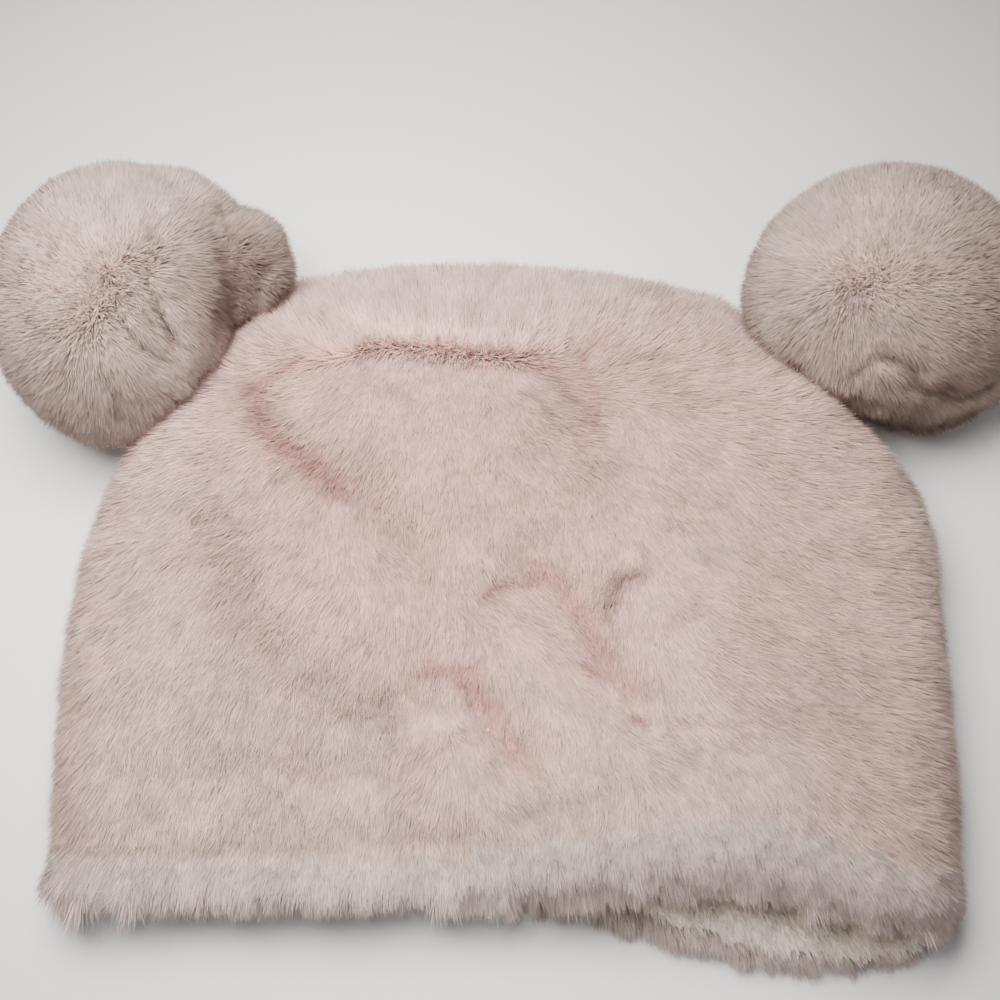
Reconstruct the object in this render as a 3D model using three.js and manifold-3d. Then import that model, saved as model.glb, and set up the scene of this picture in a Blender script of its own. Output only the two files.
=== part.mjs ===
// A plush animal hat with two pompom ears, lying flat on its back panel.
// Units are millimetres. X runs along the brim, Y from the hem to the crown, Z up from what it lies on.
// The origin is the middle of the box around the hat, at the height of that surface.
import * as THREE from "three";
import { ConvexHull } from "three/addons/math/ConvexHull.js";
import { mergeVertices } from "three/addons/utils/BufferGeometryUtils.js";
import Module from "manifold-3d";

const wasm = await Module();
wasm.setup();

// Driving sizes. "along" is the distance from the brim's lowest edge towards the crown.
const HEM_HEIGHT = 17; // turned fur hem, from its edge up to the stitch line
const PELT = { side: 11, top: 11, bottom: 9.5 }; // fur with its backing, not yet pressed flat below
const LINING_WALL = 2.4;
const LINING_EDGE = 2; // where the lining's free edge lies along the hem
const GAP = 0.7; // clearance between pieces that touch, enough where folds narrow it
const CROWN_END = 229;
const CAVITY_END = 213; // where the hollow inside the fur closes
const LINING_END = { outside: 208.5, inside: 204.5 }; // the lining is a slightly shorter bag

// Outline of the hat: half widths left and right of the middle, underside, top, and radius of the edge.
const SECTIONS = [
  { along: -10, left: 142, right: 140, low: -1.5, high: 28, round: 14 },
  { along: 0, left: 144, right: 142, low: -1.5, high: 31.5, round: 15 },
  { along: 8, left: 144, right: 142.5, low: -1.5, high: 34, round: 16 },
  { along: HEM_HEIGHT, left: 141.5, right: 142, low: -1.5, high: 36.5, round: 18 },
  { along: 31, left: 142, right: 143, low: -1.5, high: 38.5, round: 20 },
  { along: 57, left: 143.5, right: 144, low: -1.5, high: 40, round: 24 },
  { along: 100, left: 141.5, right: 144.5, low: -1.5, high: 43, round: 26 },
  { along: 126, left: 136.5, right: 144, low: -1.5, high: 43, round: 26 },
  { along: 152, left: 129, right: 136.5, low: -1.5, high: 42, round: 26 },
  { along: 172, left: 116, right: 122.5, low: -1.5, high: 40, round: 26 },
  { along: 190, left: 103, right: 108, low: -1.5, high: 37, round: 26 },
  { along: 205, left: 93, right: 97, low: 0, high: 33, round: 24 },
  { along: 216, left: 86, right: 90, low: 4, high: 26, round: 20 },
  { along: 224, left: 81, right: 85, low: 9, high: 20, round: 17 },
  { along: CROWN_END, left: 77, right: 81, low: 14, high: 14, round: 14 },
];

// How the open brim lies: how far its front and back reach past the nominal edge, and how the front gapes.
const BRIM = [
  { across: -146, front: 0, back: 0, rise: 0 },
  { across: -100, front: 3, back: -1, rise: -1 },
  { across: -50, front: 4, back: -3, rise: -1 },
  { across: 0, front: 1, back: -4, rise: 1 },
  { across: 30, front: -3, back: 1, rise: 7 },
  { across: 60, front: -7, back: 13, rise: 15 },
  { across: 90, front: -4, back: 18, rise: 17 },
  { across: 120, front: 6, back: 14, rise: 10 },
  { across: 150, front: 4, back: 2, rise: 0 },
];
const BRIM_REACH = 95; // distance above the hem over which the brim's lie fades out

// Corners of the crown, raised where the pompoms lift them, and the spread of that lift.
const CORNERS = [
  { across: -104, along: 186 },
  { across: 112, along: 184 },
];
const CORNER_LIFT = 14;
const CORNER_SPREAD = 40;

// Dents, folds and swellings of the slack front panel, each along a path of [across, along] points.
const FOLDS = [
  { name: "stitch line of the hem", width: 5, depth: 3, path: [[-140, 16], [-93, 14], [0, 17]] },
  { name: "crown valley", width: 8, depth: 4, path: [[-79, 170], [-66, 181], [-38, 184], [18, 179]] },
  { name: "left corner valley", width: 9, depth: 6, path: [[-82, 164], [-77, 150], [-68, 141], [-53, 128]] },
  { name: "left slope", width: 16, depth: 4, path: [[-53, 128], [-32, 104], [-22, 84]] },
  { name: "crown pinch", width: 7, depth: 4, path: [[26, 186], [32, 170], [33, 152]] },
  { name: "right crown valley", width: 10, depth: 3, path: [[24, 186], [38, 186], [62, 179]] },
  { name: "slanting fold", width: 8, depth: 6, path: [[0, 95], [19, 90], [28, 70], [43, 55]] },
  { name: "arched fold", width: 7, depth: 7, path: [[-33, 59], [-22, 66], [-9, 60], [3, 40]] },
  { name: "swelling under the arch", width: 14, depth: -5, path: [[-20, 46], [-12, 40]] },
  { name: "right dimple", width: 7, depth: 4, path: [[35, 91], [42, 98], [48, 96]] },
  { name: "right swelling", width: 20, depth: -4, path: [[55, 86], [60, 72]] },
  { name: "lower right fold", width: 10, depth: 4, path: [[58, 30], [80, 45], [112, 58]] },
  { name: "lower left fold", width: 11, depth: 4, path: [[-97, 36], [-52, 39], [-30, 36]] },
  { name: "left hollow", width: 20, depth: 6, path: [[-87, 104], [-63, 77], [-40, 52]] },
];
const FOLD_LIMIT = 9; // folds that cross go no deeper than about this
const CROWN_BOW = { depth: 13, middle: -8, spread: 85 }; // how the crown's edge curves back to its ends

// Pompoms: fur gathered into a ball, with smaller lobes that swell out beside it where the gather parts.
// pressed is how far from the ball's middle the hat's corner flattens it.
const POMPOMS = [
  { name: "pompom_left", corner: CORNERS[0], pressed: 35, lobes: [
    { across: -130, along: 194, height: 45, radii: [42, 49, 47], locks: 90 },
    { across: -114, along: 219, height: 48, radii: [24, 25, 26], locks: 34 },
    { across: -92, along: 213, height: 40, radii: [22, 26, 27], locks: 34 },
  ] },
  { name: "pompom_right", corner: CORNERS[1], pressed: 33, lobes: [
    { across: 133, along: 198.5, height: 45, radii: [49, 45, 46], locks: 102 },
    { across: 147, along: 185, height: 31, radii: [33, 31.5, 31], locks: 46 },
  ] },
];
const PRESSED_BULGE = 9; // how far the pressed side still swells
const LOCK_DEPTH = 5;
const LOCK_LEAN = 2.5; // the tips of the locks hang towards the brim

// Numbers of faces, and the stations of the hollow along the hat.
const OUTER = { flat: 28, arc: 8, rows: 26 };
const INNER = { flat: 14, arc: 6 };
const HOLLOW_STATIONS = [-30, LINING_EDGE, HEM_HEIGHT, 35, 55, 75, 95, 115, 135, 155, 174, 189, 201];

const smooth = (t) => THREE.MathUtils.smoothstep(t, 0, 1);

// Value of one column of a table at a place, on a curve through its rows.
function readTable(table, key, column, at) {
  const last = table.length - 1;
  const place = THREE.MathUtils.clamp(at, table[0][key], table[last][key]);
  let i = 0;
  while (i < last - 1 && table[i + 1][key] < place) i++;
  const a = table[i], b = table[i + 1];
  const span = b[key] - a[key];
  const t = (place - a[key]) / span;
  const slope = (j) => {
    const p = table[Math.max(j - 1, 0)], q = table[Math.min(j + 1, last)];
    return ((q[column] - p[column]) / (q[key] - p[key])) * span;
  };
  const t2 = t * t, t3 = t2 * t;
  return (2 * t3 - 3 * t2 + 1) * a[column] + (t3 - 2 * t2 + t) * slope(i)
    + (3 * t2 - 2 * t3) * b[column] + (t3 - t2) * slope(i + 1);
}

function distanceToPath(x, y, path) {
  let nearest = Infinity;
  for (let i = 0; i + 1 < path.length; i++) {
    const [ax, ay] = path[i], [bx, by] = path[i + 1];
    const length2 = (bx - ax) ** 2 + (by - ay) ** 2;
    const t = THREE.MathUtils.clamp(((x - ax) * (bx - ax) + (y - ay) * (by - ay)) / length2, 0, 1);
    nearest = Math.min(nearest, Math.hypot(x - ax - t * (bx - ax), y - ay - t * (by - ay)));
  }
  return nearest;
}

function foldDepth(x, along) {
  const total = FOLDS.reduce((sum, fold) => {
    const away = distanceToPath(x, along, fold.path) / fold.width;
    return sum + fold.depth * Math.exp(-away * away);
  }, 0);
  return FOLD_LIMIT * Math.tanh(total / FOLD_LIMIT);
}

function cornerLift(x, along) {
  return CORNERS.reduce((sum, corner) => {
    const away = Math.hypot(x - corner.across, along - corner.along) / CORNER_SPREAD;
    return sum + CORNER_LIFT * Math.exp(-away * away);
  }, 0);
}

// Bends a point of the plain bag into the hat as it lies: open brim, bowed crown, folds and lifted corners.
function lie(x, along, z, row) {
  const share = (z - row.low) / Math.max(row.high - row.low, 1);
  const brimShare = 1 - smooth((along - HEM_HEIGHT) / BRIM_REACH);
  const brim = (column) => readTable(BRIM, "across", column, x) * brimShare;
  const reach = brim("front") * share + brim("back") * (1 - share);
  const offMiddle = (x - CROWN_BOW.middle) / CROWN_BOW.spread;
  const bow = CROWN_BOW.depth * smooth((along - 120) / 90) * offMiddle ** 2;
  const fold = foldDepth(x, along) * share * share;
  return { x, y: along - reach - bow, z: z + brim("rise") * share - fold + cornerLift(x, along) };
}

// One closed ring of points round the hat, inset from the outer surface; squeeze 0 closes it to a line.
function ringAt(along, inset, faces) {
  const columns = ["left", "right", "low", "high", "round"];
  const row = Object.fromEntries(columns.map((c) => [c, readTable(SECTIONS, "along", c, along)]));
  const left = -row.left + inset.side, right = row.right - inset.side;
  const round = Math.max(row.round - inset.side, 5);
  const middle = (row.high - inset.top + row.low + inset.bottom) / 2;
  const half = Math.max((row.high - inset.top - row.low - inset.bottom) / 2, 0) * inset.squeeze;
  const width = right - left - 2 * round;
  const points = [];
  const add = (x, level, outward) => {
    points.push({ ...lie(x, along, middle + half * level, row), level, outward });
  };
  const { flat, arc } = faces;
  for (let k = 0; k < flat; k++) add(left + round + (width * k) / flat, -1, 0);
  for (let k = 0; k < arc; k++) {
    const turn = -Math.PI / 2 + (Math.PI * k) / arc;
    add(right - round + round * Math.cos(turn), Math.sin(turn), Math.cos(turn));
  }
  for (let k = 0; k < flat; k++) add(right - round - (width * k) / flat, 1, 0);
  for (let k = 0; k < arc; k++) {
    const turn = Math.PI / 2 + (Math.PI * k) / arc;
    add(left + round + round * Math.cos(turn), Math.sin(turn), Math.cos(turn));
  }
  return points;
}

// Raises every fourth point of a ring into the tip of a lock of fur that lies towards the brim.
function raiseLocks(ring, row) {
  return ring.map((p, k) => {
    if (p.level < -0.95) return p;
    const tip = row % 2 === 0 && (k + row / 2) % 2 === 0;
    const out = tip ? 2 : -0.8;
    return { ...p, x: p.x + out * p.outward, y: p.y - (tip ? 2.5 : 0), z: p.z + out * p.level };
  });
}

function geometryFrom(positions, triangles) {
  const geometry = new THREE.BufferGeometry();
  geometry.setAttribute("position", new THREE.Float32BufferAttribute(positions, 3));
  geometry.setIndex(triangles);
  return geometry;
}

function solidFrom(geometry) {
  geometry.deleteAttribute("normal");
  geometry.deleteAttribute("uv");
  const merged = mergeVertices(geometry, 1e-3);
  return new wasm.Manifold(new wasm.Mesh({
    numProp: 3,
    vertProperties: merged.attributes.position.array,
    triVerts: new Uint32Array(merged.index.array),
  }));
}

function geometryOf(solid) {
  const mesh = solid.getMesh();
  const positions = [];
  for (let i = 0; i < mesh.numVert; i++) {
    positions.push(...mesh.vertProperties.subarray(i * mesh.numProp, i * mesh.numProp + 3));
  }
  return geometryFrom(positions, [...mesh.triVerts]);
}

// A solid skinned over rings of points; with both ends squeezed to lines it is closed, or else it is a loop.
function skin(rings, isLoop) {
  const count = rings[0].length;
  const positions = rings.flat().flatMap((p) => [p.x, p.y, p.z]);
  const triangles = [];
  const strips = isLoop ? rings.length : rings.length - 1;
  for (let i = 0; i < strips; i++) {
    const here = i * count, next = ((i + 1) % rings.length) * count;
    for (let k = 0; k < count; k++) {
      const k1 = (k + 1) % count;
      triangles.push(here + k, next + k, here + k1, here + k1, next + k, next + k1);
    }
  }
  return solidFrom(geometryFrom(positions, triangles));
}

// Stations from the hem to the crown, closer together where the crown turns over.
function stationsTo(end, from, rows) {
  return Array.from({ length: rows + 1 }, (_, i) => {
    const t = i / rows;
    return from + (end - from) * (t + 0.12 * Math.sin(Math.PI * t) * t);
  });
}

// The hollow inside the fur, inset further by some distance, as a solid that begins at one of its stations.
function hollow(further, from, end) {
  const inset = {
    side: PELT.side + further, top: PELT.top + further, bottom: PELT.bottom + further, squeeze: 1,
  };
  const closing = 20;
  const stations = [...HOLLOW_STATIONS.filter((along) => along >= from && along < end - 3), end];
  const rings = stations.map((along) => {
    const past = THREE.MathUtils.clamp((along - end + closing) / closing, 0, 1);
    return ringAt(along, { ...inset, squeeze: Math.sqrt(1 - past * past) }, INNER);
  });
  return skin([ringAt(from, { ...inset, squeeze: 0 }, INNER), ...rings], false);
}

// Outer surface of the fur above the hem as a solid, grown by a clearance.
function furBody(grown) {
  const inset = { side: -grown, top: -grown, bottom: -grown, squeeze: 1 };
  const rings = stationsTo(CROWN_END + grown, HEM_HEIGHT - grown, OUTER.rows).map((along, i) => {
    const closed = i === OUTER.rows;
    const ring = ringAt(along, { ...inset, squeeze: closed ? 0 : 1 }, OUTER);
    return closed || i === 0 ? ring : raiseLocks(ring, i);
  });
  return skin([ringAt(HEM_HEIGHT - grown, { ...inset, squeeze: 0 }, OUTER), ...rings], false);
}

// The fur body: front and back panels sewn into one bag, open at the brim.
function furShell() {
  return furBody(0).subtract(hollow(0, HOLLOW_STATIONS[0], CAVITY_END));
}

// The short-pile lining: a thin bag inside the fur, which starts just inside the hem's edge.
function fleeceLining() {
  const outside = hollow(GAP, LINING_EDGE, LINING_END.outside);
  return outside.subtract(hollow(GAP + LINING_WALL, HOLLOW_STATIONS[0], LINING_END.inside));
}

// Cross-section of the turned hem: depth 0 is the outer surface of the fur and 1 its inner surface.
const HEM_PROFILE = [
  { along: HEM_HEIGHT - GAP, depth: 0.08, fringe: 0 },
  { along: 11, depth: -0.06, fringe: 1 },
  { along: 4, depth: 0.06, fringe: 2 },
  { along: -1.5, depth: 0.42, fringe: 4 },
  { along: 1, depth: 0.8, fringe: 1 },
  { along: HEM_HEIGHT - GAP, depth: 0.9, fringe: 0 },
];

// The turned hem: a soft fur ring below the stitch line, whose edge is a fringe of locks.
function hemRoll() {
  const rings = HEM_PROFILE.map(({ along, depth, fringe }) => {
    const { side, top, bottom } = PELT;
    const inset = { side: side * depth, top: top * depth, bottom: bottom * depth, squeeze: 1 };
    return ringAt(along, inset, OUTER).map((p, k) => ({ ...p, y: p.y + (k % 2 ? fringe : -fringe) / 2 }));
  });
  return skin(rings.reverse(), true);
}

// Points spread evenly over a sphere.
function spherePoints(count) {
  const golden = Math.PI * (3 - Math.sqrt(5));
  return Array.from({ length: count }, (_, i) => {
    const z = 1 - (2 * i + 1) / count;
    const r = Math.sqrt(1 - z * z);
    return new THREE.Vector3(r * Math.cos(golden * i), r * Math.sin(golden * i), z);
  });
}

// Outward direction of the crown's slanting corner edge, in the plane of the table.
function cornerDirection(corner) {
  const side = Math.sign(corner.across);
  const column = side < 0 ? "left" : "right";
  const inward = readTable(SECTIONS, "along", column, 160) - readTable(SECTIONS, "along", column, 205);
  return new THREE.Vector3(side * (205 - 160), inward, 0).normalize();
}

// One lobe: an egg of pointed locks. bend is applied to every point.
function lobeOfLocks(lobe, bend) {
  const radii = new THREE.Vector3(...lobe.radii);
  const centre = new THREE.Vector3(lobe.across, lobe.along, lobe.height);
  const shape = (direction, depth, lean) => {
    const p = direction.clone().normalize();
    p.multiply(radii.clone().subScalar(depth)).add(centre);
    p.y -= lean;
    return bend(p);
  };
  const positions = [];
  for (const face of new ConvexHull().setFromPoints(spherePoints(lobe.locks)).faces) {
    const corners = [face.edge, face.edge.next, face.edge.next.next].map((edge) => edge.head().point);
    const valley = shape(corners.reduce((sum, c) => sum.add(c), new THREE.Vector3()), LOCK_DEPTH, 0);
    corners.forEach((corner, i) => {
      const next = corners[(i + 1) % corners.length];
      const side = shape(corner.clone().add(next), 0.6 * LOCK_DEPTH, 0);
      const tips = [corner, next].map((c) => shape(c, 0, LOCK_LEAN));
      for (const p of [tips[0], side, valley, side, tips[1], valley]) positions.push(p.x, p.y, p.z);
    });
  }
  const corners = Array.from({ length: positions.length / 3 }, (_, i) => i);
  return solidFrom(geometryFrom(positions, corners));
}

// A pompom: its lobes fused, pressed against the crown's corner and cut clear of the hat.
function pompom(spec, hat) {
  const toHat = cornerDirection(spec.corner).negate();
  const ball = spec.lobes[0];
  const middle = new THREE.Vector3(ball.across, ball.along, ball.height);
  const press = (p) => {
    const past = Math.max(p.clone().sub(middle).dot(toHat) - spec.pressed, 0);
    return p.addScaledVector(toHat, PRESSED_BULGE * (1 - Math.exp(-past / PRESSED_BULGE)) - past);
  };
  const lobes = spec.lobes.map((lobe, i) => lobeOfLocks(lobe, i === 0 ? press : (p) => p));
  return lobes.reduce((whole, lobe) => whole.add(lobe)).subtract(hat);
}

// What lies below the surface that the hat rests on, cut away from every piece so that each rests flat.
function belowTable() {
  const depth = 20;
  const block = new THREE.BoxGeometry(600, 600, depth);
  block.translate(0, 100, -depth / 2);
  return solidFrom(block);
}

function piece(name, solid, material) {
  const mesh = new THREE.Mesh(geometryOf(solid.subtract(table)), material);
  mesh.name = name;
  return mesh;
}

const blushFur = new THREE.MeshStandardMaterial({ color: 0xcfbab3, roughness: 0.95, metalness: 0 });
const paleFur = new THREE.MeshStandardMaterial({ color: 0xd6c4bd, roughness: 0.95, metalness: 0 });
const creamFleece = new THREE.MeshStandardMaterial({ color: 0xdcd0c2, roughness: 1, metalness: 0 });

const hat = new THREE.Group();
const table = belowTable();
const clearOfHat = furBody(GAP);
hat.add(piece("fur_shell", furShell(), blushFur));
hat.add(piece("hem_roll", hemRoll(), paleFur));
hat.add(piece("fleece_lining", fleeceLining(), creamFleece));
for (const spec of POMPOMS) hat.add(piece(spec.name, pompom(spec, clearOfHat), paleFur));

// Moves the middle of the hat's box to the origin.
const box = new THREE.Box3().setFromObject(hat);
hat.position.set(-(box.min.x + box.max.x) / 2, -(box.min.y + box.max.y) / 2, -box.min.z);

const part = new THREE.Group();
part.add(hat);

export default part;
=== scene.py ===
import math

import bpy
import numpy as np
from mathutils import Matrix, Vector
from mathutils.bvhtree import BVHTree


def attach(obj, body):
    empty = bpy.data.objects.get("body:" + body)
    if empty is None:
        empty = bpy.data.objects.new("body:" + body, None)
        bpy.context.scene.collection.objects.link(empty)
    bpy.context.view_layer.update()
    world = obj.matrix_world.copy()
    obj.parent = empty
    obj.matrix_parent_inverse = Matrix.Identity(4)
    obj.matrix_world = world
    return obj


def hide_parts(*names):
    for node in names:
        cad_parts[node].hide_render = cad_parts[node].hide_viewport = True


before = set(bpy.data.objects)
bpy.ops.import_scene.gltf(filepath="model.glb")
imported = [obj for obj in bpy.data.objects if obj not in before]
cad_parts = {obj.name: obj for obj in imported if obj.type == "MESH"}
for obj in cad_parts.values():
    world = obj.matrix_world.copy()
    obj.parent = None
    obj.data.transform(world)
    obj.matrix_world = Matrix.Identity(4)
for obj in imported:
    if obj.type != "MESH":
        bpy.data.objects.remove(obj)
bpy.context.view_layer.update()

# The table, the light and the camera. The hat lies flat on a pale matt table, under one soft box hung above it, a
# little to the left and towards the crown. A broad weak one behind the camera and the pale room fill the shadows.
# The camera looks down steeply from the brim's side.


def linear(hex_colour):
    """The linear red, green and blue of an sRGB hex colour."""
    parts = [int(hex_colour[i:i + 2], 16) / 255 for i in (1, 3, 5)]
    return [c / 12.92 if c <= 0.04045 else ((c + 0.055) / 1.055) ** 2.4 for c in parts]


def add_node(tree, kind, settings=None, links=None):
    """Adds one node to a material, with its sockets' values or attributes set and its inputs linked."""
    node = tree.nodes.new(kind)
    for key, value in (settings or {}).items():
        if isinstance(key, str) and hasattr(node, key) and key not in node.inputs:
            setattr(node, key, value)
        else:
            node.inputs[key].default_value = value
    for key, socket in (links or {}).items():
        tree.links.new(socket, node.inputs[key])
    return node


def new_material(name):
    """An empty material and its node tree."""
    material = bpy.data.materials.new(name)
    material.use_nodes = True
    material.node_tree.nodes.clear()
    return material, material.node_tree


ORIGIN = np.array((5.18, 111.19))  # the frame's origin, in millimetres across the brim and along from its edge


def place(across, along, height):
    """A place in this file's millimetres across, along and up, as a vector in the frame."""
    return Vector(((across - ORIGIN[0]) / 1000, (along - ORIGIN[1]) / 1000, height / 1000))


def add_light(name, at, aim, size, watts, colour, spread):
    """A square soft box that looks at a place; spread is the angle over which its grid lets light out."""
    lamp = bpy.data.lights.new(name, "AREA")
    lamp.size = size
    lamp.energy = watts
    lamp.color = colour
    lamp.spread = math.radians(spread)
    box = bpy.data.objects.new(name, lamp)
    box.location = at
    box.rotation_euler = (Vector(aim) - Vector(at)).to_track_quat("-Z", "Y").to_euler()
    bpy.context.scene.collection.objects.link(box)


bpy.ops.object.select_all(action="DESELECT")
TABLE_SIDE = 8  # metres
bpy.ops.mesh.primitive_plane_add(size=TABLE_SIDE, location=(0, 0, 0))
table = bpy.context.active_object
table.name = "table"
# Matt emulsion paint: pale and even, with hardly any gloss.
table_paint, tree = new_material("matt_painted_table")
paint = add_node(tree, "ShaderNodeBsdfPrincipled", {"Base Color": (*linear("#e4e2df"), 1), "Roughness": 0.7})
add_node(tree, "ShaderNodeOutputMaterial", links={"Surface": paint.outputs[0]})
table.data.materials.append(table_paint)

world = bpy.data.worlds.new("room")
bpy.context.scene.world = world
world.use_nodes = True
world.node_tree.nodes["Background"].inputs["Color"].default_value = (0.95, 0.97, 1, 1)
world.node_tree.nodes["Background"].inputs["Strength"].default_value = 0.2
add_light("key_softbox", (-0.09, 0.05, 0.43), (-0.05, 0.03, 0), 0.3, 2.5, (1, 0.98, 0.96), 100)
add_light("fill_softbox", (-0.2, -0.75, 0.75), (0, 0, 0), 0.8, 0.8, (0.96, 0.98, 1), 180)

ELEVATION = math.radians(68)  # how steeply the camera looks down
VIEW_DISTANCE = 0.5024  # metres from the place it is aimed at
AIM = (0, 141, 0)  # that place, in millimetres across, along and up
camera = bpy.data.objects.new("camera", bpy.data.cameras.new("camera"))
camera.data.sensor_width = 36
camera.data.lens = 50.4  # millimetres
camera.data.clip_start = 0.01
away = Vector((0, -math.cos(ELEVATION), math.sin(ELEVATION)))
camera.location = place(*AIM) + away * VIEW_DISTANCE
camera.rotation_euler = (math.pi / 2 - ELEVATION, 0, 0)
bpy.context.scene.collection.objects.link(camera)
bpy.context.scene.camera = camera


# The fur body: a front and a back panel of plush fur cloth, sewn into one bag. First comes the cloth itself, its
# pink knitted backing with the dense short underfur. Then its pile is grown on it, tuft by tuft, combed and parted
# as long fur lies after it has been stroked and folded.


def soft_copy(nodes, name, voxel, rounds):
    """The cloth of pieces sewn together: their solids' surface made even and smoothed until the locks are gone."""
    bpy.ops.object.select_all(action="DESELECT")
    for node in nodes:
        piece = bpy.data.objects.new(name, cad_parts[node].data.copy())
        bpy.context.scene.collection.objects.link(piece)
        piece.data.materials.clear()
        piece.select_set(True)
        bpy.context.view_layer.objects.active = piece
    if len(nodes) > 1:
        bpy.ops.object.join()
        piece.name = name
    bpy.ops.object.mode_set(mode="EDIT")
    bpy.ops.mesh.select_all(action="SELECT")
    bpy.ops.mesh.remove_doubles(threshold=0.00001)
    bpy.ops.object.mode_set(mode="OBJECT")
    even = piece.modifiers.new("even", "REMESH")
    even.mode = "VOXEL"
    even.voxel_size = voxel
    even.use_smooth_shade = True
    bpy.ops.object.modifier_apply(modifier="even")
    ease = piece.modifiers.new("ease", "SMOOTH")
    ease.factor = 0.5
    ease.iterations = rounds
    bpy.ops.object.modifier_apply(modifier="ease")
    return piece


def surface_of(piece):
    """Points, normals and triangles of a mesh as arrays."""
    mesh = piece.data
    points = np.empty(len(mesh.vertices) * 3)
    normals = np.empty(len(mesh.vertices) * 3)
    mesh.vertices.foreach_get("co", points)
    mesh.vertices.foreach_get("normal", normals)
    mesh.calc_loop_triangles()
    triangles = np.empty(len(mesh.loop_triangles) * 3, dtype=np.int32)
    mesh.loop_triangles.foreach_get("vertices", triangles)
    return points.reshape(-1, 3), normals.reshape(-1, 3), triangles.reshape(-1, 3)


def move_points(piece, points):
    """Puts a mesh's points at new places."""
    piece.data.vertices.foreach_set("co", points.astype(np.float32).ravel())
    piece.data.update()


def solid_tree(node):
    """A search tree of one CAD solid."""
    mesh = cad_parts[node].data
    faces = [tuple(face.vertices) for face in mesh.polygons]
    return BVHTree.FromPolygons([tuple(v.co) for v in mesh.vertices], faces)


def distance_to(tree, points):
    """How far each point is from a solid."""
    return np.array([tree.find_nearest(Vector(p))[3] for p in points])


def hashed(cells, seed):
    """A repeatable number from 0 to 1 for each whole-numbered cell."""
    h = cells[..., 0] * 73856093 ^ cells[..., 1] * 19349663 ^ cells[..., 2] * 83492791 ^ (seed * 2654435761)
    h = ((h & 0xffffffff) ^ ((h & 0xffffffff) >> 13)) * 1274126177 & 0xffffffff
    h ^= h >> 16
    return (h & 0xffffff) / 0x1000000


def noise(points, size, seed):
    """Smooth noise from -1 to 1 with bumps of about one size, in metres."""
    scaled = points / size
    cell = np.floor(scaled).astype(np.int64)
    t = scaled - cell
    t = t * t * (3 - 2 * t)
    total = np.zeros(len(points))
    for corner in np.ndindex(2, 2, 2):
        weight = np.prod(np.where(corner, t, 1 - t), axis=1)
        total += weight * hashed(cell + np.array(corner), seed)
    return total * 2 - 1


def nearest_lock(points, size, seed):
    """For each point, the way to the middle of the lock of fur that it belongs to, and the lock's own number."""
    cell = np.floor(points / size).astype(np.int64)
    best = np.full(len(points), np.inf)
    way = np.zeros_like(points)
    number = np.zeros(len(points))
    for step in np.ndindex(3, 3, 3):
        other = cell + np.array(step) - 1
        middle = (other + np.stack([hashed(other, seed + k) for k in range(3)], axis=1)) * size
        gap = ((middle - points) ** 2).sum(axis=1)
        closer = gap < best
        best = np.where(closer, gap, best)
        way = np.where(closer[:, None], middle - points, way)
        number = np.where(closer, hashed(other, seed + 3), number)
    return way, number


def unit(vectors):
    """Vectors made one long."""
    return vectors / np.maximum(np.linalg.norm(vectors, axis=-1, keepdims=True), 1e-9)


def scatter(piece, count, wanted, seed):
    """Roots spread over a surface: their points and normals. wanted gives the share of pile by point and normal."""
    points, normals, triangles = surface_of(piece)
    a, b, c = (points[triangles[:, k]] for k in range(3))
    area = np.linalg.norm(np.cross(b - a, c - a), axis=1) / 2
    weight = area * wanted((a + b + c) / 3, unit(normals[triangles].sum(axis=1)))
    rng = np.random.default_rng(seed)
    chosen = rng.choice(len(triangles), size=count, p=weight / weight.sum())
    u, v = rng.random(count), rng.random(count)
    flip = u + v > 1
    u[flip], v[flip] = 1 - u[flip], 1 - v[flip]
    w = np.stack([1 - u - v, u, v], axis=1)[:, :, None]
    corners = triangles[chosen]
    return (points[corners] * w).sum(axis=1), unit((normals[corners] * w).sum(axis=1))


def path_distance(points, path):
    """Distance in millimetres from each point to a path of as many columns, and the direction away from it."""
    nearest = np.full(len(points), np.inf)
    direction = np.zeros_like(points)
    for start, end in zip(np.array(path[:-1], dtype=float), np.array(path[1:], dtype=float)):
        run = end - start
        t = np.clip((points - start) @ run / (run @ run), 0, 1)[:, None]
        off = points - start - t * run
        gap = np.linalg.norm(off, axis=1)
        closer = gap < nearest
        nearest = np.where(closer, gap, nearest)
        direction = np.where(closer[:, None], off / np.maximum(gap, 1e-6)[:, None], direction)
    return nearest, direction


FLATTEST = math.radians(78)  # the pile never lies closer to the cloth than this leaves it
LOWEST_TIP = 0.0004  # metres above the table, so that no tuft goes through it
FRAY = 0.15  # how far single tufts stray sideways from the way they are combed
SWAY = 0.2  # and how far neighbouring tufts stray together
# The metres over which the sway, the length, the lean and the shade change along the fur.
SWAY_SIZE, LENGTH_SIZE, LEAN_SIZE, SHADE_SIZE = 0.006, 0.007, 0.01, 0.012
# Fur draws together in strands, locks and clumps. For each: its size as a share of a lock's, its pull as a share of
# a lock's, how much it differs in shade from its neighbours, and how much more it does where the fur is ruffled.
GATHERS = ((0.42, 1.2, 0.3, 0.8), (1, 1, 0.1, 0), (2.6, 0.6, 0.16, 0))
# At a parting the tip takes this share of the tint, pink roots with painted shade.
TIP_BLUSH = 0.75  # how much of a root's pink its tip takes


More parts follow.
